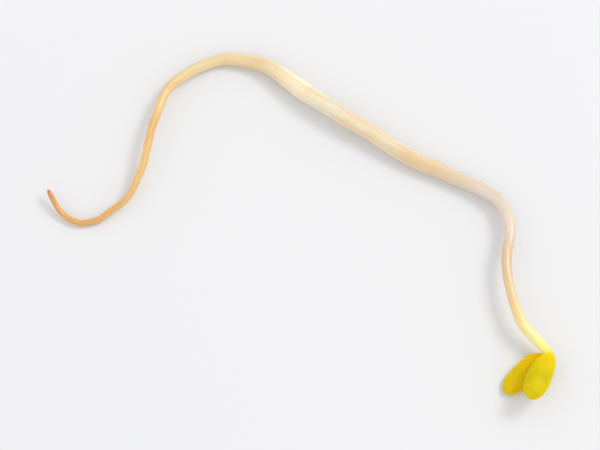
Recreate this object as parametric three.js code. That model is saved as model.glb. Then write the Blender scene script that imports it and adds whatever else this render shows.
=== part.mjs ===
// An alfalfa sprout, a few days old, lying on its side on a level surface.
// Millimetres, +Z up. The origin is on that surface, under the middle of the sprout's box.
// Each organ is one closed solid, swept along its own centreline.

import * as THREE from 'three';

// ---- Driving dimensions -------------------------------------------------------------------

const GAP = 0.1; // clearance between organs that meet
const SMALLEST = 0.03; // radius left at a closed tip

// Stem, from the collar where the root begins to the hooked neck under the seed leaves.
// It rests on the surface near the middle of its length, and the neck is held clear of it.
const STEM_ROUTE = [
  [-19.2, 21.1, 0.88],
  [-16.5, 19.1, 1.02],
  [-12.6, 16.7, 0.82],
  [-8.6, 14.7, 0.58],
  [-5.2, 13.15, 0.68],
  [-3.3, 11.5, 1.0],
  [-2.8, 9.6, 1.32],
  [-3.12, 7.0, 1.6],
  [-2.8, 4.7, 1.68],
  [-2.28, 3.0, 1.62],
  [-1.78, 2.02, 1.52],
  [-0.95, 1.14, 1.36],
  [-0.32, 0.48, 1.22],
  [-0.06, 0.14, 1.15],
];
// Diameters at shares of the length.
const STEM_DIAMETERS = [
  [0, 1.45],
  [0.3, 1.3],
  [0.55, 1.04],
  [0.8, 0.76],
  [0.93, 0.83],
  [1, 0.73],
];
const STEM_SIDES = 14;
const STEM_STEPS = 70;

// Root, on from the collar to its tip. It touches the surface at its first bend and near its tip.
const ROOT_ROUTE = [
  [-19.2, 21.1, 0.88],
  [-21.9, 22.7, 0.6],
  [-25.2, 23.1, 0.46],
  [-28.1, 21.5, 0.78],
  [-29.8, 18.5, 1.26],
  [-30.7, 15.0, 1.22],
  [-32.3, 11.9, 0.64],
  [-35.1, 10.3, 0.27],
  [-37.3, 11.2, 0.5],
  [-38.1, 12.7, 0.98],
];
const ROOT_DIAMETERS = [
  [0, 1.4],
  [0.1, 1.16],
  [0.25, 0.86],
  [0.6, 0.62],
  [0.9, 0.46],
  [1, 0.36],
];
const ROOT_TIP_LENGTH = 0.5; // the rounded end
const ROOT_SIDES = 10;
const ROOT_STEPS = 70;

// Seed leaves: fleshy oval blades on short stalks, half open like a mussel that lies on one shell.
const LEAF_WIDTH = 1.9;
const LEAF_THICKNESS = 0.56;
const LEAF_CUP = 0.22; // how far the edges curve towards the other leaf
const LEAF_TIP_FROM = 0.6; // share of the length where the outline starts to round off
const LEAF_THICK_FROM = 0.35; // share of the length where the blade reaches its full thickness
const LEAF_THIN_FROM = 0.72; // share of the length where it thins towards the tip
const STALK_THICKNESS = 0.28;
const LEAF_SIDES = 24;
const LEAF_STEPS = 24;
const UPPER_LEAF = {
  outer: [0, 0, 1],
  // Widths at shares of the length, as parts of the full width.
  widths: [
    [0, 0.36],
    [0.06, 0.51],
    [0.13, 0.68],
    [0.22, 0.82],
    [0.32, 0.92],
    [0.45, 0.98],
    [0.6, 1],
    [1, 1],
  ],
  route: [
    [-0.02, 0.04, 1.41],
    [-0.02, -0.15, 1.44],
    [-0.1, -0.5, 1.54],
    [-0.36, -1.05, 1.72],
    [-0.78, -1.98, 2.0],
    [-1.18, -2.88, 2.25],
    [-1.53, -3.66, 2.42],
  ],
};
const LOWER_LEAF = {
  outer: [0, 0, -1],
  widths: [
    [0, 0.21],
    [0.06, 0.42],
    [0.12, 0.66],
    [0.2, 0.86],
    [0.29, 0.96],
    [0.4, 0.98],
    [0.6, 0.96],
    [1, 0.93],
  ],
  route: [
    [-0.02, 0.04, 0.9],
    [-0.12, -0.12, 0.83],
    [-0.42, -0.33, 0.7],
    [-0.9, -0.66, 0.52],
    [-1.62, -1.28, 0.33],
    [-2.48, -2.06, 0.26],
    [-3.34, -2.84, 0.36],
  ],
};

// First true leaf, still a folded bud in the angle between the seed leaves.
const BUD_WIDTH = 0.3;
const BUD_THICKNESS = 0.24;
const BUD_FOOT_THICKNESS = 0.1;
const BUD_THICK_FROM = 0.7;
const BUD_TIP_FROM = 0.65;
const BUD_SIDES = 12;
const BUD_STEPS = 10;
const BUD_ROUTE = [
  [-0.02, 0.04, 1.16],
  [-0.14, -0.38, 1.17],
  [-0.44, -0.88, 1.18],
];

// ---- Materials ----------------------------------------------------------------------------

const stemSkin = new THREE.MeshStandardMaterial({ color: 0xf3e4bb, roughness: 0.45, metalness: 0 });
const rootSkin = new THREE.MeshStandardMaterial({ color: 0xf4cd86, roughness: 0.5, metalness: 0 });
const leafSkin = new THREE.MeshStandardMaterial({ color: 0xd6c613, roughness: 0.4, metalness: 0 });
const budSkin = new THREE.MeshStandardMaterial({ color: 0xe2df7a, roughness: 0.45, metalness: 0 });

// ---- Shared geometry ----------------------------------------------------------------------

const UP = new THREE.Vector3(0, 0, 1);

function routeCurve(points) {
  return new THREE.CatmullRomCurve3(points.map((point) => new THREE.Vector3(...point)));
}

// The value at a share of the length, going evenly from one station to the next.
function atShare(stations, share) {
  const next = stations.findIndex(([place]) => place >= share);
  if (next < 1) {
    return stations[Math.max(next, 0)][1];
  }
  const [from, low] = stations[next - 1];
  const [to, high] = stations[next];
  return THREE.MathUtils.lerp(low, high, (share - from) / (to - from));
}

// 1 up to the place where an oval end begins, then down to 0 at the tip.
function roundedEnd(share, begins) {
  const into = Math.max(share - begins, 0) / (1 - begins);
  return Math.sqrt(Math.max(1 - into * into, 0));
}

// A closed solid along a curve, with its steps closer together at both ends. section gives half the
// width, half the thickness and the bend of the edges at a share of the length. The thickness points
// to the side named outer, and the edges bend away from it.
function sweep(curve, outer, sides, steps, section) {
  const solid = new THREE.CylinderGeometry(1, 1, 1, sides, steps);
  const places = solid.attributes.position;
  const place = new THREE.Vector3();
  for (let i = 0; i < places.count; i++) {
    place.fromBufferAttribute(places, i);
    const share = (1 - Math.cos(Math.PI * (place.y + 0.5))) / 2;
    const [halfWidth, halfThickness, cup] = section(share);
    const along = curve.getTangentAt(share);
    const out = outer.clone().addScaledVector(along, -outer.dot(along)).normalize();
    const across = along.clone().cross(out);
    const rise = place.z * halfThickness - cup * place.x * place.x;
    const point = curve.getPointAt(share);
    point.addScaledVector(across, place.x * halfWidth).addScaledVector(out, rise);
    places.setXYZ(i, point.x, point.y, point.z);
  }
  solid.computeVertexNormals();
  return solid;
}

function organ(name, geometry, material) {
  const mesh = new THREE.Mesh(geometry, material);
  mesh.name = name;
  return mesh;
}

// ---- Organs -------------------------------------------------------------------------------

function hypocotyl() {
  const section = (share) => {
    const radius = atShare(STEM_DIAMETERS, share) / 2;
    return [radius, radius, 0];
  };
  return organ('hypocotyl', sweep(routeCurve(STEM_ROUTE), UP, STEM_SIDES, STEM_STEPS, section), stemSkin);
}

// The root goes on in the stem's direction, and its end face lies a gap away from the stem's.
function root() {
  const curve = routeCurve(ROOT_ROUTE);
  const [start, second] = curve.points;
  start.addScaledVector(second.clone().sub(start).normalize(), GAP);
  const tipFrom = 1 - ROOT_TIP_LENGTH / curve.getLength();
  const section = (share) => {
    const radius = (atShare(ROOT_DIAMETERS, share) / 2) * roundedEnd(share, tipFrom);
    return [Math.max(radius, SMALLEST), Math.max(radius, SMALLEST), 0];
  };
  return organ('root', sweep(curve, UP, ROOT_SIDES, ROOT_STEPS, section), rootSkin);
}

function cotyledon(name, leaf) {
  const section = (share) => {
    const part = atShare(leaf.widths, share) * roundedEnd(share, LEAF_TIP_FROM);
    const swell = THREE.MathUtils.smoothstep(share, 0, LEAF_THICK_FROM);
    const full = THREE.MathUtils.lerp(STALK_THICKNESS, LEAF_THICKNESS, swell);
    const halfThickness = Math.max((full / 2) * roundedEnd(share, LEAF_THIN_FROM), SMALLEST);
    return [Math.max((LEAF_WIDTH / 2) * part, SMALLEST), halfThickness, LEAF_CUP * part * part];
  };
  const outer = new THREE.Vector3(...leaf.outer);
  return organ(name, sweep(routeCurve(leaf.route), outer, LEAF_SIDES, LEAF_STEPS, section), leafSkin);
}

function plumule() {
  const section = (share) => {
    const end = roundedEnd(share, BUD_TIP_FROM);
    const swell = THREE.MathUtils.smoothstep(share, 0, BUD_THICK_FROM);
    const thickness = THREE.MathUtils.lerp(BUD_FOOT_THICKNESS, BUD_THICKNESS, swell);
    return [Math.max((BUD_WIDTH / 2) * end, SMALLEST), Math.max((thickness / 2) * end, SMALLEST), 0];
  };
  return organ('plumule', sweep(routeCurve(BUD_ROUTE), UP, BUD_SIDES, BUD_STEPS, section), budSkin);
}

// ---- The whole sprout ---------------------------------------------------------------------

const sprout = new THREE.Group();
sprout.add(hypocotyl());
sprout.add(root());
sprout.add(cotyledon('cotyledon_upper', UPPER_LEAF));
sprout.add(cotyledon('cotyledon_lower', LOWER_LEAF));
sprout.add(plumule());

// The bottom centre of the sprout's box goes to the origin.
const box = new THREE.Box3().setFromObject(sprout);
const middle = box.getCenter(new THREE.Vector3());
sprout.position.set(-middle.x, -middle.y, -box.min.z);

export default sprout;
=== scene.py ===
import bmesh
import bpy
import math
from bisect import bisect_right
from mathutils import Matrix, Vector, noise
from mathutils.geometry import interpolate_bezier


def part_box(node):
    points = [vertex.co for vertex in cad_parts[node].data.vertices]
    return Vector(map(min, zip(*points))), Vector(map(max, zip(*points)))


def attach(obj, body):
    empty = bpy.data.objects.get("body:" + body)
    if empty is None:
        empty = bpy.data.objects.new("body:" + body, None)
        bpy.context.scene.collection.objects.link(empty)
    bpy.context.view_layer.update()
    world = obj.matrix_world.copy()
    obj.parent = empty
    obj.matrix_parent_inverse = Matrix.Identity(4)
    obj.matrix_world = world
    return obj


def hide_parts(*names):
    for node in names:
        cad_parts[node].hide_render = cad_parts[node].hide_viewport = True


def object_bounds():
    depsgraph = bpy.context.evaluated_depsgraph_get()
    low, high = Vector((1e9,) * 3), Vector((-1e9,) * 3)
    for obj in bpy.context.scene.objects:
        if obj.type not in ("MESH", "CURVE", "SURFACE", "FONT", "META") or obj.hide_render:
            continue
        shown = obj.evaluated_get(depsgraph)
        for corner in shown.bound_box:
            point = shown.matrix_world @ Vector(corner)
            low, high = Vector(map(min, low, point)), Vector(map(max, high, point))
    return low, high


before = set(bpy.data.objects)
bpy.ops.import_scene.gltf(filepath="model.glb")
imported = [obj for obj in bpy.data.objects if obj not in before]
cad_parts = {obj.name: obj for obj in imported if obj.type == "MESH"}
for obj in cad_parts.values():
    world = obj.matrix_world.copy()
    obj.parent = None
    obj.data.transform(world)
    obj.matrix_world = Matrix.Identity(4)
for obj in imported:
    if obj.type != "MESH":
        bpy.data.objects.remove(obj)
cad_low, cad_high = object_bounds()


# ---- Stem --------------------------------------------------------------------------------------
# The hypocotyl grew as one soft column between the root and the seed leaves. It is thick, cream and
# a little translucent at its foot, thin and yellow at its neck, and faintly ribbed along its length.
# It runs straight on into the root, so the two share one line of growth.

GROWTH_LINE = (  # in mm, from the root's tip to the neck, measured from the neck
    (-38.1, 12.7, 0.98),
    (-37.3, 11.2, 0.5),
    (-35.1, 10.3, 0.27),
    (-32.3, 11.9, 0.64),
    (-30.7, 15.0, 1.22),
    (-29.8, 18.5, 1.26),
    (-28.1, 21.5, 0.78),
    (-25.2, 23.1, 0.46),
    (-21.9, 22.7, 0.6),
    (-19.2, 21.1, 0.88),
    (-16.5, 19.1, 1.02),
    (-12.6, 16.7, 0.82),
    (-8.6, 14.7, 0.58),
    (-5.2, 13.15, 0.68),
    (-3.3, 11.5, 1.0),
    (-2.8, 9.6, 1.32),
    (-3.12, 7.0, 1.6),
    (-2.8, 4.7, 1.68),
    (-2.28, 3.0, 1.62),
    (-1.78, 2.02, 1.52),
    (-0.95, 1.14, 1.36),
    (-0.32, 0.48, 1.22),
    (-0.06, 0.14, 1.15),
)
COLLAR_POINT = 9  # where the root ends and the stem begins
MM = 0.001
UP = Vector((0, 0, 1))
# Diameters, in mm, at shares of the length from the collar.
STEM_DIAMETERS = ((0, 1.43), (0.3, 1.3), (0.55, 1.04), (0.8, 0.76), (0.93, 0.84), (1, 0.73))
TUCK = 0.5  # how far the stem and the root run into each other, out of sight
TUCK_TAPER = 0.3  # the part of its radius that a tucked end loses
NECK_DOME = 0.25  # the last part of the neck, which is rounded off under the seed leaves
NECK_DOME_RADIUS = 0.365
NECK_DOME_ROWS = 14
SWAY = 0.3  # how far the column wanders sideways, and a quarter of it in finer bends
BROAD_BENDS = 0.24  # bends to a mm of its length
FINE_BENDS = 0.8
STRAIGHT_NECK = (6, 14)  # distances from the neck's end between which the sway begins
STEM_SIDES = 72
STEM_STEP = 0.065
STEM_COLOURS = (
    (0.0, (252, 243, 222)),
    (0.25, (252, 240, 215)),
    (0.4, (246, 224, 186)),
    (0.54, (245, 237, 227)),
    (0.64, (245, 233, 218)),
    (0.78, (241, 215, 173)),
    (0.88, (248, 222, 167)),
    (0.955, (255, 237, 164)),
    (1.0, (254, 232, 134)),
)


STRETCH_POINTS = 33  # points of a line from one point of its route to the next


def route_line(points):
    """The smooth line through points, as [(distance along it, place)] close together, and the
    distance at each point."""
    knots = [Vector(point) for point in points]
    knots = [2 * knots[0] - knots[1], *knots, 2 * knots[-1] - knots[-2]]
    line = [(0.0, knots[1])]
    marks = [0.0]
    for before, start, end, after in zip(knots, knots[1:], knots[2:], knots[3:]):
        low = (start - before).length ** 0.5
        span = (end - start).length ** 0.5
        high = (after - end).length ** 0.5
        leave = (start - before) / low - (end - before) / (low + span) + (end - start) / span
        arrive = (end - start) / span - (after - start) / (span + high) + (after - end) / high
        leave_handle = start + leave * span / 3
        arrive_handle = end - arrive * span / 3
        stretch = interpolate_bezier(start, leave_handle, arrive_handle, end, STRETCH_POINTS)
        for place in stretch[1:]:
            line.append((line[-1][0] + (place - line[-1][1]).length, place.copy()))
        marks.append(line[-1][0])
    return line, marks


LOOK = 3  # points on either side that give a line its direction


def on_route(line, distance):
    """The place and the direction at a distance along the line. Beyond its ends it goes on straight."""
    i = min(max(bisect_right(line, distance, key=lambda at: at[0]) - 1, 0), len(line) - 2)
    (from_distance, start), (to_distance, end) = line[i], line[i + 1]
    part = (distance - from_distance) / (to_distance - from_distance)
    near = max(i - LOOK, 0)
    far = min(i + 1 + LOOK, len(line) - 1)
    return start.lerp(end, part), (line[far][1] - line[near][1]).normalized()


def at_share(stations, share):
    """The value at a share of the length, on a smooth curve through the stations."""
    share = min(max(share, stations[0][0]), stations[-1][0])
    i = 0
    while share > stations[i + 1][0]:
        i += 1
    (x1, y1), (x2, y2) = stations[i], stations[i + 1]
    x0, y0 = stations[max(i - 1, 0)]
    x3, y3 = stations[min(i + 2, len(stations) - 1)]
    span = x2 - x1
    leave = (y2 - y0) / (x2 - x0) * span
    arrive = (y3 - y1) / (x3 - x1) * span
    t = (share - x1) / span
    return (
        y1 * (2 * t**3 - 3 * t**2 + 1) + leave * (t**3 - 2 * t**2 + t)
        + y2 * (3 * t**2 - 2 * t**3) + arrive * (t**3 - t**2))


WELD_DISTANCE = 1e-7  # in metres


def sweep(line, outer, sides, distances, section, neck):
    """A sheet of faces rolled round a route and welded shut. section(distance, around) gives how far a
    point lies across the route and out towards outer, in mm, and three values kept in the attribute
    paint. The attribute grain holds the place round and along the route."""
    bm = bmesh.new()
    bm.loops.layers.uv.new("skin")
    paint_layer = bm.verts.layers.float_vector.new("paint")
    grain_layer = bm.verts.layers.float_vector.new("grain")
    rows = len(distances) - 1
    bmesh.ops.create_grid(bm, x_segments=sides, y_segments=rows, size=1, calc_uvs=True)
    spots = [on_route(line, distance) for distance in distances]
    for vert in bm.verts:
        around = (vert.co.x + 1) * math.pi
        row = round((vert.co.y + 1) / 2 * rows)
        spot, along = spots[row]
        out = (outer - along * outer.dot(along)).normalized()
        across = along.cross(out)
        sideways, outwards, paint = section(distances[row], around)
        vert.co = (spot + across * sideways + out * outwards) * MM + neck
        vert[paint_layer] = Vector(paint)
        vert[grain_layer] = Vector((math.cos(around), math.sin(around), distances[row]))
    bmesh.ops.remove_doubles(bm, verts=bm.verts, dist=WELD_DISTANCE)
    for face in bm.faces:
        face.smooth = True
    ends = bmesh.ops.holes_fill(bm, edges=bm.edges, sides=0)["faces"]
    for edge in {edge for face in ends for edge in face.edges}:
        edge.smooth = False
    bmesh.ops.recalc_face_normals(bm, faces=bm.faces)
    return bm


def piece_from(bm, name, skin, cad_node):
    """Makes a piece of a mesh and lets it stand for its CAD node."""
    mesh = bpy.data.meshes.new(name)
    bm.to_mesh(mesh)
    bm.free()
    mesh.materials.append(skin)
    piece = bpy.data.objects.new(name, mesh)
    bpy.context.scene.collection.objects.link(piece)
    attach(piece, "root")
    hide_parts(cad_node)
    return piece


def evenly(start, end, step):
    """Distances from start to end, evenly spaced and no more than a step apart."""
    count = math.ceil((end - start) / step)
    return [start + (end - start) * i / count for i in range(count + 1)]


def smooth(value, low, high):
    """0 below low, 1 above high, and an even bend between."""
    part = min(max((value - low) / (high - low), 0), 1)
    return part * part * (3 - 2 * part)


growth, marks = route_line(GROWTH_LINE)
collar = marks[COLLAR_POINT]
stem_length = growth[-1][0] - collar


def bends(along, lane):
    """A level step to the side that changes smoothly along a lane of noise, up to about 1 long."""
    to_x = noise.noise(Vector((along, lane, 0)))
    to_y = noise.noise(Vector((lane, along, 5)))
    return Vector((to_x, to_y, 0))


def sway(distance):
    """How far the column wanders sideways from its line of growth, in mm. Its neck doesn't."""
    broad = bends(distance * BROAD_BENDS, 0.5)
    fine = bends(distance * FINE_BENDS, 7.5)
    return (broad * SWAY + fine * SWAY / 4) * smooth(stem_length + collar - distance, *STRAIGHT_NECK)


BROAD_RIBS = 5
FINE_RIBS = 8
RIB_DEPTH = 0.4  # each depth is a share of the whole relief
SWELLING_DEPTH = 0.75
OVAL_DEPTH = 0.6
CREASE_DEPTH = 0.25


def column_relief(distance, around):
    """Faint ribs that wander round a column, slow swellings, ovalness and fine creases, about -1 to 1."""
    turn = around + 0.9 * noise.noise(Vector((0, 3.1, distance * 0.09)))
    strength = 0.6 + 0.8 * noise.noise(Vector((7.3, 0, distance * 0.3)))
    fine_turn = FINE_RIBS * turn + distance * 0.15
    ribs = (math.cos(BROAD_RIBS * turn) * 0.6 + math.cos(fine_turn) * 0.4) * strength
    swelling = noise.noise(Vector((distance * 0.4, 1.7, 0)))
    oval = math.cos(2 * turn) * noise.noise(Vector((distance * 0.25, 9.2, 4.4)))
    crease = noise.noise(Vector((math.cos(around), math.sin(around), distance * 1.4)) * 2.2)
    return RIB_DEPTH * ribs + SWELLING_DEPTH * swelling + OVAL_DEPTH * oval + CREASE_DEPTH * crease


COLLAR_FADE = 3  # in mm: how far from a joint a piece is fully in the open
NECK_FADE = 2


def from_joint(distance):
    """1 in the open, falling slowly to 0 where a piece runs under its neighbour."""
    from_collar = abs(distance - collar) / COLLAR_FADE
    from_leaves = (growth[-1][0] - NECK_DOME - distance) / NECK_FADE
    return smooth(min(from_collar, from_leaves), 0.02, 1)


STEM_RELIEF = 0.05  # the height of its ribs and swellings, as a part of its radius
PLAIN_NECK = 14  # the relief fades out over the last of so many parts of the stem


def stem_section(distance, around):
    share = min((distance - collar) / stem_length, 1)
    tucked = max(collar - distance, 0) / TUCK
    relief = column_relief(distance, around)
    depth = STEM_RELIEF * min((1 - share) * PLAIN_NECK, 1)
    into_dome = max(distance - growth[-1][0] + NECK_DOME, 0) / NECK_DOME_RADIUS
    radius = at_share(STEM_DIAMETERS, share) / 2 * (1 + depth * relief)
    radius *= math.sqrt(max(1 - into_dome**2, 0)) * (1 - TUCK_TAPER * tucked**2)
    return radius * math.cos(around), radius * math.sin(around), (share, relief, from_joint(distance))


stem_rows = evenly(collar - TUCK, growth[-1][0] - NECK_DOME, STEM_STEP)
dome_base = stem_rows[-1]
for i in range(1, NECK_DOME_ROWS + 1):
    stem_rows.append(dome_base + NECK_DOME_RADIUS * math.sin(math.pi / 2 * i / NECK_DOME_ROWS))

# A bare tube along the same line, with the neck at the origin. The box that the stem's solid has in
# the frame then tells where the neck is.
BARE_SIDES = 14
BARE_STEP = 0.45


def bare_section(distance, around):
    radius = at_share(STEM_DIAMETERS, (distance - collar) / stem_length) / 2
    return radius * math.cos(around), radius * math.sin(around), (0, 0, 0)


bare_rows = evenly(collar, growth[-1][0], BARE_STEP)
bare_stem = sweep(growth, UP, BARE_SIDES, bare_rows, bare_section, Vector())
bare_low = Vector([min(vert.co[i] for vert in bare_stem.verts) for i in range(3)])
bare_high = Vector([max(vert.co[i] for vert in bare_stem.verts) for i in range(3)])
bare_stem.free()
NECK = (sum(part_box("hypocotyl"), Vector()) - bare_low - bare_high) / 2
growth = [(distance, place + sway(distance)) for distance, place in growth]


def srgb(red, green, blue):
    """A colour as a shader wants it, from its usual 0 to 255 values."""
    def linear(value):
        value /= 255
        return value / 12.92 if value <= 0.04045 else ((value + 0.055) / 1.055) ** 2.4
    return linear(red), linear(green), linear(blue), 1


def add(tree, kind, inputs=None, **settings):
    """A new shader node. An input is given a value, or the output socket that feeds it."""
    made = tree.nodes.new(kind)
    for name, value in settings.items():
        setattr(made, name, value)
    for name, value in (inputs or {}).items():
        if isinstance(value, bpy.types.NodeSocket):
            tree.links.new(value, made.inputs[name])
        else:
            made.inputs[name].default_value = value
    return made


def ramp(tree, factor, stops):
    """A colour ramp fed by a socket. stops are (place, colour)."""
    made = add(tree, "ShaderNodeValToRGB", {"Fac": factor})
    elements = made.color_ramp.elements
    while len(elements) < len(stops):
        elements.new(0.5)
    for element, (place, colour) in zip(elements, stops):
        element.position = place
        element.color = srgb(*colour)
    return made.outputs["Color"]


def mixed(tree, blend, factor, base, over):
    """Colour over laid on colour base."""
    made = add(tree, "ShaderNodeMix", {0: factor, 6: base, 7: over}, data_type="RGBA", blend_type=blend)
    return made.outputs[2]


def spread(tree, value, low, high, to_low, to_high):
    """A value moved from one range to another, and kept inside it."""
    ends = {"Value": value, "From Min": low, "From Max": high, "To Min": to_low, "To Max": to_high}
    return add(tree, "ShaderNodeMapRange", ends, interpolation_type="SMOOTHSTEP").outputs["Result"]


def product(tree, one, other):
    return add(tree, "ShaderNodeMath", {0: one, 1: other}, operation="MULTIPLY").outputs[0]


def cloud(tree, place, stretch, detail=3):
    """Soft noise on a place, stretch giving how many patches go into one unit each way."""
    scaled = add(tree, "ShaderNodeVectorMath", {0: place, 1: stretch}, operation="MULTIPLY")
    made = add(tree, "ShaderNodeTexNoise", {"Vector": scaled.outputs[0], "Scale": 1, "Detail": detail})
    return made.outputs["Fac"]


def attribute(tree, name):
    """The three values of an attribute, and all of them as one vector."""
    whole = add(tree, "ShaderNodeAttribute", attribute_name=name).outputs["Vector"]
    parts = add(tree, "ShaderNodeSeparateXYZ", {"Vector": whole}).outputs
    return parts["X"], parts["Y"], parts["Z"], whole


WET_PATCHES = 700  # to a metre, as the cells are
CELLS = 14000
CELL_HEIGHT = 0.000004  # in metres
RELIEF_HEIGHT = 0.00003


def living_skin(name, paint, glow, glow_depth, glow_colour, clear, gloss, shine, wet_coat):
    """Moist plant skin that light goes some way into. paint(tree) gives its colour, the height of its
    lengthwise relief, and the shares of the greatest glow and clearness that a place has: a joint,
    where one piece runs under another, has none."""
    skin = bpy.data.materials.new(name)
    skin.use_nodes = True
    tree = skin.node_tree
    shader = tree.nodes["Principled BSDF"]
    colour, height, glow_share, clear_share = paint(tree)
    tree.links.new(colour, shader.inputs["Base Color"])
    here = add(tree, "ShaderNodeTexCoord").outputs["Object"]
    wet = cloud(tree, here, (WET_PATCHES, WET_PATCHES, WET_PATCHES))
    roughness = spread(tree, wet, 0.35, 0.65, gloss - 0.07, gloss + 0.08)
    tree.links.new(roughness, shader.inputs["Roughness"])
    cells = add(tree, "ShaderNodeTexVoronoi", {"Vector": here, "Scale": CELLS}, feature="F1")
    fine = add(tree, "ShaderNodeBump", {
        "Height": cells.outputs["Distance"], "Distance": CELL_HEIGHT, "Strength": 0.5}, invert=True)
    long = add(tree, "ShaderNodeBump", {
        "Height": height, "Normal": fine.outputs["Normal"], "Distance": RELIEF_HEIGHT, "Strength": 0.55})
    tree.links.new(long.outputs["Normal"], shader.inputs["Normal"])
    tree.links.new(product(tree, glow_share, glow), shader.inputs["Subsurface Weight"])
    if clear:
        tree.links.new(product(tree, clear_share, clear), shader.inputs["Transmission Weight"])
    shader.inputs["Subsurface Radius"].default_value = glow_colour
    shader.inputs["Subsurface Scale"].default_value = glow_depth
    shader.inputs["IOR"].default_value = 1.4
    shader.inputs["Coat Weight"].default_value = wet_coat
    shader.inputs["Coat Roughness"].default_value = 0.15
    shader.inputs["Specular IOR Level"].default_value = shine
    return skin


def column_paint(colours, streaks, clear_from, clear_to):
    """The colours of a column along its length, with broad streaks, fine fibres and soft patches in
    the streaks' colours. It gets clear between the shares of its length in clear_from, and cloudy
    again between those in clear_to."""
    def paint(tree):
        share, relief, open_share, _ = attribute(tree, "paint")
        grain = attribute(tree, "grain")[3]
        here = add(tree, "ShaderNodeTexCoord").outputs["Object"]
        colour = ramp(tree, share, colours)
        streak = ramp(tree, share, streaks)
        broad = cloud(tree, grain, (1.3, 1.3, 0.12), 2)
        colour = mixed(tree, "MIX", spread(tree, broad, 0.45, 0.7, 0, 0.32), colour, streak)
        patches = cloud(tree, here, (450, 450, 450), 4)
        colour = mixed(tree, "MIX", spread(tree, patches, 0.48, 0.72, 0, 0.25), colour, streak)
        fibres = cloud(tree, grain, (6, 6, 0.5), 5)
        colour = mixed(tree, "MIX", spread(tree, fibres, 0.52, 0.7, 0, 0.2), colour, streak)
        # Painted shade: the hollows of the ribs, creases and swellings are darkened with the streak
        # colour.
        painted_hollow_shade = spread(tree, relief, -0.6, 0.3, 0.25, 0)
        colour = mixed(tree, "MULTIPLY", painted_hollow_shade, colour, streak)
        glow_share = spread(tree, open_share, 0, 0.2, 0, 1)
        clearing = product(
            tree, spread(tree, share, *clear_from, 0.75, 1), spread(tree, share, *clear_to, 1, 0.3))
        return colour, fibres, glow_share, product(tree, open_share, clearing)
    return paint


STEM_STREAKS = (
    (0.0, (238, 208, 158)),
    (0.4, (232, 192, 128)),
    (0.56, (228, 204, 174)),
    (0.8, (234, 198, 140)),
    (0.9, (244, 214, 142)),
    (0.97, (252, 228, 138)),
    (1.0, (254, 232, 134)),
)
COLUMN_SKIN = {
    "glow": 0.8,
    "glow_depth": 0.0005,
    "glow_colour": (1.0, 0.7, 0.42),
    "clear": 0.38,
    "gloss": 0.36,
    "shine": 0.3,
    "wet_coat": 0.6,
}
stem_paint = column_paint(STEM_COLOURS, STEM_STREAKS, clear_from=(0.4, 0.56), clear_to=(0.72, 0.92))
stem_skin = living_skin("stem_skin", stem_paint, **COLUMN_SKIN)
stem_mesh = sweep(growth, UP, STEM_SIDES, stem_rows, stem_section, NECK)
piece_from(stem_mesh, "stem", stem_skin, "hypocotyl")


# ---- Root --------------------------------------------------------------------------------------
# The seedling root goes on from the stem without a joint. It narrows within a few millimetres and
# ends in a rounded tan cap. It dries sooner than the stem, so it is more golden and has deeper
# wrinkles. Its upper end is tucked a little into the stem, so that no seam shows.

ROOT_DIAMETERS = ((0, 1.43), (0.1, 1.18), (0.25, 0.86), (0.6, 0.62), (0.9, 0.46), (1, 0.36))
ROOT_CAP = 0.5  # the length of its rounded tip, in mm
ROOT_CAP_ROWS = 14
ROOT_WRINKLES = 0.06  # what its wrinkles add to the relief that the stem has
WRINKLED_FROM = 0.25  # the share of its length from which they are at their deepest
ROOT_SIDES = 56
ROOT_STEP = 0.06
ROOT_COLOURS = (
    (0.0, (252, 243, 222)),
    (0.12, (252, 235, 198)),
    (0.4, (252, 224, 168)),
    (0.78, (252, 214, 146)),
    (0.93, (249, 200, 124)),
    (0.975, (232, 168, 90)),
    (1.0, (198, 128, 62)),
)


def root_section(distance, around):
    share = (collar - distance) / collar
    into_cap = max(ROOT_CAP - distance, 0) / ROOT_CAP
    tucked = max(distance - collar, 0) / TUCK
    relief = column_relief(distance, around)
    depth = STEM_RELIEF + ROOT_WRINKLES * min(share / WRINKLED_FROM, 1)
    radius = at_share(ROOT_DIAMETERS, share) / 2 * (1 + depth * relief)
    radius *= math.sqrt(max(1 - into_cap**2, 0)) * (1 - TUCK_TAPER * tucked**2)
    return radius * math.cos(around), radius * math.sin(around), (share, relief, from_joint(distance))


ROOT_STREAKS = (
    (0.0, (238, 208, 158)),
    (0.2, (238, 194, 124)),
    (0.9, (232, 172, 94)),
    (1.0, (168, 100, 46)),
)
root_paint = column_paint(ROOT_COLOURS, ROOT_STREAKS, clear_from=(0.4, 0.7), clear_to=(0.9, 1))
root_skin = living_skin("root_skin", root_paint, **COLUMN_SKIN)
root_rows = [ROOT_CAP * (1 - math.cos(math.pi / 2 * i / ROOT_CAP_ROWS)) for i in range(ROOT_CAP_ROWS)]
root_rows += evenly(ROOT_CAP, collar + TUCK, ROOT_STEP)
root_mesh = sweep(growth, UP, ROOT_SIDES, root_rows, root_section, NECK)
piece_from(root_mesh, "root_axis", root_skin, "root")


# ---- Seed leaves -------------------------------------------------------------------------------
# Two fleshy cotyledons that came out of the seed. Each grows out of one side of the neck and they
# stand half open, like a mussel. The outer side is rounded, the inner side nearly flat with a
# shallow groove along its middle, and the edge between them is blunt.

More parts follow.
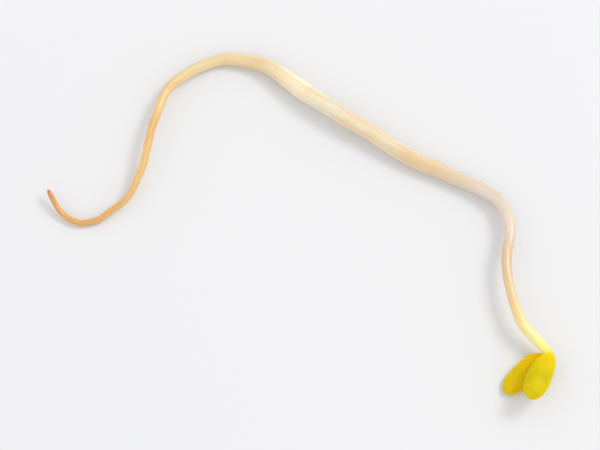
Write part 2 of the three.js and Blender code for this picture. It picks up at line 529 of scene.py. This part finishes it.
LEAF_HALF_WIDTH = 0.95
LEAF_THICKNESS = 0.56
LEAF_FOOT_THICKNESS = 0.44
LEAF_CUP = 0.22  # how far the edges bend towards the other leaf
GROOVE_DEPTH = 0.05  # along the middle of the inner side
GROOVE_WIDTH = 0.13  # half of it, as a part of the leaf's half width
MIDDLE_DIP = 0.015  # along the middle of the outer side
OUTER_BULGE = 1.1  # the outer side takes more of the thickness than the inner one
INNER_BULGE = 0.9
EDGE_ROUNDNESS = 0.85  # below 1, a cut across a leaf is blunter than an oval
FACE_ROUNDNESS = 0.9
WAVE_HEIGHT = 0.03
LEAF_THICK_FROM = 0.35  # shares of the blade's length, like the next two
LEAF_TIP_FROM = 0.6
LEAF_THIN_FROM = 0.72
FOOT_SHARE = 0.2  # where the blade begins, in the shares that the colours go by
LEAF_SIDES = 112
LEAF_ROWS = 180
LEAVES = (
    {
        "piece": "seed_leaf_upper",
        "node": "cotyledon_upper",
        "outer": UP,
        "foot": 0.68,
        "half_widths": (
            (-0.12, 0.3), (0, 0.34), (0.06, 0.49), (0.13, 0.65), (0.22, 0.78),
            (0.32, 0.87), (0.42, 0.92), (0.52, 0.945), (0.65, 0.95), (1, 0.95)),
        "route": (
            (-0.4, 0.66, 1.27),
            (-0.08, 0.18, 1.33),
            (-0.02, -0.15, 1.42),
            (-0.1, -0.5, 1.54),
            (-0.36, -1.05, 1.72),
            (-0.78, -1.98, 2.0),
            (-1.18, -2.88, 2.25),
            (-1.53, -3.66, 2.42),
        ),
    },
    {
        "piece": "seed_leaf_lower",
        "node": "cotyledon_lower",
        "outer": -UP,
        "foot": 0.73,
        "half_widths": (
            (-0.12, 0.26), (0, 0.28), (0.05, 0.42), (0.11, 0.62), (0.19, 0.81),
            (0.28, 0.91), (0.38, 0.935), (0.5, 0.92), (0.65, 0.9), (1, 0.88)),
        "route": (
            (-0.42, 0.62, 1.14),
            (-0.16, 0.16, 1.0),
            (-0.26, -0.06, 0.9),
            (-0.5, -0.3, 0.74),
            (-0.92, -0.64, 0.52),
            (-1.62, -1.28, 0.33),
            (-2.48, -2.06, 0.27),
            (-3.34, -2.84, 0.36),
        ),
    },
)


def leaf_section(leaf, length, distance, around):
    blade = (distance - leaf["foot"]) / (length - leaf["foot"])
    into_tip = max(blade - LEAF_TIP_FROM, 0) / (1 - LEAF_TIP_FROM)
    half_width = at_share(leaf["half_widths"], blade) * math.sqrt(max(1 - into_tip**2, 0))
    into_edge = max(blade - LEAF_THIN_FROM, 0) / (1 - LEAF_THIN_FROM)
    grown = smooth(blade, 0, LEAF_THICK_FROM)
    full = LEAF_FOOT_THICKNESS + (LEAF_THICKNESS - LEAF_FOOT_THICKNESS) * grown
    thickness = full * math.sqrt(max(1 - into_edge**2, 0))
    across = math.copysign(abs(math.cos(around)) ** EDGE_ROUNDNESS, math.cos(around))
    out = math.copysign(abs(math.sin(around)) ** FACE_ROUNDNESS, math.sin(around))
    middle = math.exp(-((across / GROOVE_WIDTH) ** 2))
    middle *= smooth(blade, 0, 0.3) * (1 - smooth(blade, 0.6, 0.95))
    rise = out * thickness / 2 * (OUTER_BULGE if out > 0 else INNER_BULGE)
    rise += GROOVE_DEPTH * middle if out < 0 else -MIDDLE_DIP * middle
    rise -= LEAF_CUP * (half_width / LEAF_HALF_WIDTH) ** 2 * across**2
    wave = noise.noise(Vector((across * 1.5, distance * 0.9, out * 0.7 + len(leaf["piece"]))))
    rise += WAVE_HEIGHT * wave * grown
    return across * half_width, rise, (FOOT_SHARE + blade * (1 - FOOT_SHARE), across, out)


FOOT_FILLET = 0.16  # how far from the neck's skin a leaf's foot is drawn towards it
AXIS_STEP = 0.02
AXIS_POINTS = 60  # of the neck's middle, in steps from where its dome begins
BURIED_AT = 0.4  # the distance down the neck at which a foot is wholly under the skin
FOOT_LEVEL = 1.012  # its least distance from the neck's middle, in radii of the dome
FOOT_SINK = 0.06  # how much less that is where it is buried


def filleted(bm):
    """Draws the foot of a leaf up to the neck's skin, so that it flows into it, and dips just under
    the skin at its upper end."""
    axis_end = growth[-1][0] - NECK_DOME
    axis = [on_route(growth, axis_end - i * AXIS_STEP)[0] for i in range(AXIS_POINTS)]
    for vert in bm.verts:
        spot = (vert.co - NECK) / MM
        nearest = min(axis, key=lambda place: (spot - place).length_squared)
        gap = (spot - nearest).length
        buried = smooth((nearest - axis[0]).length, 0, BURIED_AT)
        skin_level = NECK_DOME_RADIUS * (FOOT_LEVEL - FOOT_SINK * buried)
        near = max(FOOT_FILLET - abs(gap - skin_level), 0) / FOOT_FILLET
        if gap < skin_level + FOOT_FILLET:
            wanted = max(gap, skin_level) + near**2 * FOOT_FILLET / 4 * (1 - buried)
            vert.co = (nearest + (spot - nearest) * (wanted / gap)) * MM + NECK


def times_plus(tree, value, times, plus):
    """A value times a number, plus another value."""
    return add(tree, "ShaderNodeMath", {0: value, 1: times, 2: plus}, operation="MULTIPLY_ADD").outputs[0]


VEINS = 11  # on each side, in a share of 1, so about 9 along the blade
VEIN_SLANT = 1.5  # how far a vein leans forward on its way to the edge, in spaces between veins
VEIN_WANDER = 1.6
VEIN_WIDTH = 0.3  # the height of the wave under which a vein shows


def side_veins(tree, share, sideways, here):
    """1 on the thin veins that leave the middle of a leaf aslant, and 0 between them."""
    wander = product(tree, cloud(tree, here, (1500, 1500, 1500), 2), VEIN_WANDER)
    along = times_plus(tree, share, VEINS, wander)
    slanting = times_plus(tree, sideways, -VEIN_SLANT, along)
    wave = add(tree, "ShaderNodeMath", {0: product(tree, slanting, math.pi)}, operation="SINE")
    between = add(tree, "ShaderNodeMath", {0: wave.outputs[0]}, operation="ABSOLUTE")
    lines = spread(tree, between.outputs[0], 0.0, VEIN_WIDTH, 1, 0)
    return product(tree, lines, spread(tree, sideways, 0.5, 0.9, 1, 0))


LEAF_COLOURS = (
    (FOOT_SHARE, (240, 208, 16)),
    (0.34, (227, 199, 6)),
    (0.55, (214, 196, 6)),
    (1.0, (210, 189, 5)),
)
OLIVE = (188, 179, 8)
OCHRE_AND_SHADE = (230, 184, 4)
VEIN_COLOUR = (228, 214, 30)
STRIPE_COLOUR = (222, 206, 28)
EDGE_COLOUR = (226, 200, 6)
PORE_COLOUR = (204, 198, 90)


def leaf_paint(tree):
    """Yellow green with olive and ochre patches, an ochre inner side that is partly the leaf's own tone
    and partly painted shade between the two leaves, a paler middle and faint veins. Its foot has the
    colour of the neck."""
    share, across, out, _ = attribute(tree, "paint")
    here = add(tree, "ShaderNodeTexCoord").outputs["Object"]
    sideways = add(tree, "ShaderNodeMath", {0: across}, operation="ABSOLUTE").outputs[0]
    grown = spread(tree, share, FOOT_SHARE, 0.45, 0, 1)
    colour = ramp(tree, share, LEAF_COLOURS)
    olive = cloud(tree, here, (900, 900, 900), 2)
    spotted = product(tree, grown, spread(tree, olive, 0.36, 0.72, 0, 0.75))
    colour = mixed(tree, "MIX", spotted, colour, srgb(*OLIVE))
    # Partly painted shade: the inner sides, which face each other across the gap, get an ochre tint that
    # is partly the leaf's own tone and partly the shade between the leaves.
    inside = spread(tree, out, -0.2, 0.2, 0.85, 0.12)
    ochre = cloud(tree, here, (620, 620, 620), 2)
    ochre_and_painted_shade = product(tree, inside, spread(tree, ochre, 0.4, 0.62, 0.4, 1))
    colour = mixed(tree, "MIX", ochre_and_painted_shade, colour, srgb(*OCHRE_AND_SHADE))
    veins = side_veins(tree, share, sideways, here)
    veined = product(tree, grown, product(tree, veins, 0.18))
    colour = mixed(tree, "MIX", veined, colour, srgb(*VEIN_COLOUR))
    stripe = product(tree, grown, spread(tree, sideways, 0.0, 0.22, 0.3, 0))
    colour = mixed(tree, "MIX", stripe, colour, srgb(*STRIPE_COLOUR))
    colour = mixed(tree, "MIX", spread(tree, sideways, 0.8, 1.0, 0, 0.45), colour, srgb(*EDGE_COLOUR))
    pores = cloud(tree, here, (9000, 9000, 9000), 2)
    colour = mixed(tree, "MULTIPLY", spread(tree, pores, 0.5, 0.7, 0, 0.22), colour, srgb(*PORE_COLOUR))
    neck_share = spread(tree, share, 0.14, 0.27, 1, 0)
    colour = mixed(tree, "MIX", neck_share, colour, srgb(*STEM_COLOURS[-1][1]))
    folds = cloud(tree, here, (2500, 2500, 2500), 4)
    height = times_plus(tree, product(tree, veins, grown), -0.35, folds)
    return colour, height, spread(tree, share, FOOT_SHARE, 0.32, 0, 1), 0


leaf_skin = living_skin(
    "seed_leaf_skin", leaf_paint, glow=0.5, glow_depth=0.0003, glow_colour=(1.0, 0.8, 0.1), clear=0,
    gloss=0.37, shine=0.11, wet_coat=0)
for leaf in LEAVES:
    line, _ = route_line(leaf["route"])
    length = line[-1][0]
    rows = [length * (1 - math.cos(math.pi * i / LEAF_ROWS)) / 2 for i in range(LEAF_ROWS + 1)]
    blade_mesh = sweep(
        line, leaf["outer"], LEAF_SIDES, rows, lambda d, a: leaf_section(leaf, length, d, a), NECK)
    filleted(blade_mesh)
    piece_from(blade_mesh, leaf["piece"], leaf_skin, leaf["node"])


# ---- Leaf bud ----------------------------------------------------------------------------------
# The plumule is the first true leaf, still folded along its middle and paler than the seed leaves.
# It grows out of the end of the neck, in the angle between them.

BUD_ROUTE = ((-0.1, 0.3, 1.16), (-0.02, 0.04, 1.16), (-0.14, -0.38, 1.17), (-0.44, -0.88, 1.18))
BUD_WIDTH = 0.3
BUD_THICKNESS = 0.24
BUD_FOOT_THICKNESS = 0.1
BUD_TIP_FROM = 0.65
BUD_FOLD = 0.18  # how deep the fold is, as a part of the thickness
BUD_SIDES = 48
BUD_ROWS = 60


def bud_section(length, distance, around):
    share = distance / length
    into_tip = max(share - BUD_TIP_FROM, 0) / (1 - BUD_TIP_FROM)
    end = math.sqrt(max(1 - into_tip**2, 0))
    thickness = BUD_FOOT_THICKNESS + (BUD_THICKNESS - BUD_FOOT_THICKNESS) * smooth(share, 0.2, 0.7)
    fold = 1 - BUD_FOLD * math.exp(-((math.cos(around) / 0.2) ** 2)) * smooth(share, 0.3, 0.6)
    across = BUD_WIDTH / 2 * end * math.cos(around)
    return across, thickness / 2 * end * fold * math.sin(around), (share, 0, 1)


BUD_COLOURS = ((0.0, (236, 226, 130)), (1.0, (214, 206, 74)))
BUD_STREAKS = ((0.0, (226, 210, 90)), (1.0, (196, 184, 50)))
bud_paint = column_paint(BUD_COLOURS, BUD_STREAKS, clear_from=(0, 1), clear_to=(0, 1))
bud_skin = living_skin(
    "bud_skin", bud_paint, glow=0.5, glow_depth=0.0002, glow_colour=(1.0, 0.8, 0.3), clear=0,
    gloss=0.4, shine=0.3, wet_coat=0)
bud_line, _ = route_line(BUD_ROUTE)
bud_length = bud_line[-1][0]
bud_rows = [bud_length * (1 - math.cos(math.pi * i / BUD_ROWS)) / 2 for i in range(BUD_ROWS + 1)]
bud_mesh = sweep(bud_line, UP, BUD_SIDES, bud_rows, lambda d, a: bud_section(bud_length, d, a), NECK)
piece_from(bud_mesh, "leaf_bud", bud_skin, "plumule")


# ---- Studio ------------------------------------------------------------------------------------
# A wide matt floor, almost white, under a large soft light from the upper right and an even pale
# surround. The camera looks steeply down on the sprout.

FLOOR_SIZE = 1.5  # half of its side, in metres
FLOOR_COLOUR = (0.755, 0.756, 0.768, 1)
SURROUND_STRENGTH = 0.96
KEY_PLACE = Vector((0.32, 0.2, 0.42))
KEY_SIZE = 0.18
KEY_POWER = 1.0
CAMERA_HEIGHT = math.radians(78)
CAMERA_DISTANCE = 0.3
CAMERA_LENS = 236

floor_mesh = bpy.data.meshes.new("floor")
bm = bmesh.new()
bmesh.ops.create_grid(bm, x_segments=1, y_segments=1, size=FLOOR_SIZE)
bm.to_mesh(floor_mesh)
bm.free()
floor = bpy.data.objects.new("floor", floor_mesh)
bpy.context.scene.collection.objects.link(floor)
floor_paint = bpy.data.materials.new("floor_paint")
floor_paint.use_nodes = True
floor_shader = floor_paint.node_tree.nodes["Principled BSDF"]
floor_shader.inputs["Base Color"].default_value = FLOOR_COLOUR
floor_shader.inputs["Roughness"].default_value = 0.9
floor_mesh.materials.append(floor_paint)

surround = bpy.data.worlds.new("surround")
surround.use_nodes = True
surround.node_tree.nodes["Background"].inputs["Color"].default_value = (1, 1, 1, 1)
surround.node_tree.nodes["Background"].inputs["Strength"].default_value = SURROUND_STRENGTH
bpy.context.scene.world = surround

middle = (cad_low + cad_high) / 2
key = bpy.data.lights.new("key_light", "AREA")
key.size = KEY_SIZE
key.energy = KEY_POWER
key_light = bpy.data.objects.new("key_light", key)
key_light.location = KEY_PLACE
key_light.rotation_euler = (middle - KEY_PLACE).to_track_quat("-Z", "Y").to_euler()
bpy.context.scene.collection.objects.link(key_light)

view_from = Vector((0, -math.cos(CAMERA_HEIGHT), math.sin(CAMERA_HEIGHT)))
lens = bpy.data.cameras.new("camera")
lens.lens = CAMERA_LENS
lens.clip_start = 0.001
lens.clip_end = 10
camera = bpy.data.objects.new("camera", lens)
camera.location = middle + view_from * CAMERA_DISTANCE
camera.rotation_euler = (-view_from).to_track_quat("-Z", "Y").to_euler()
bpy.context.scene.collection.objects.link(camera)
bpy.context.scene.camera = camera
bpy.context.scene.view_settings.view_transform = "Standard"
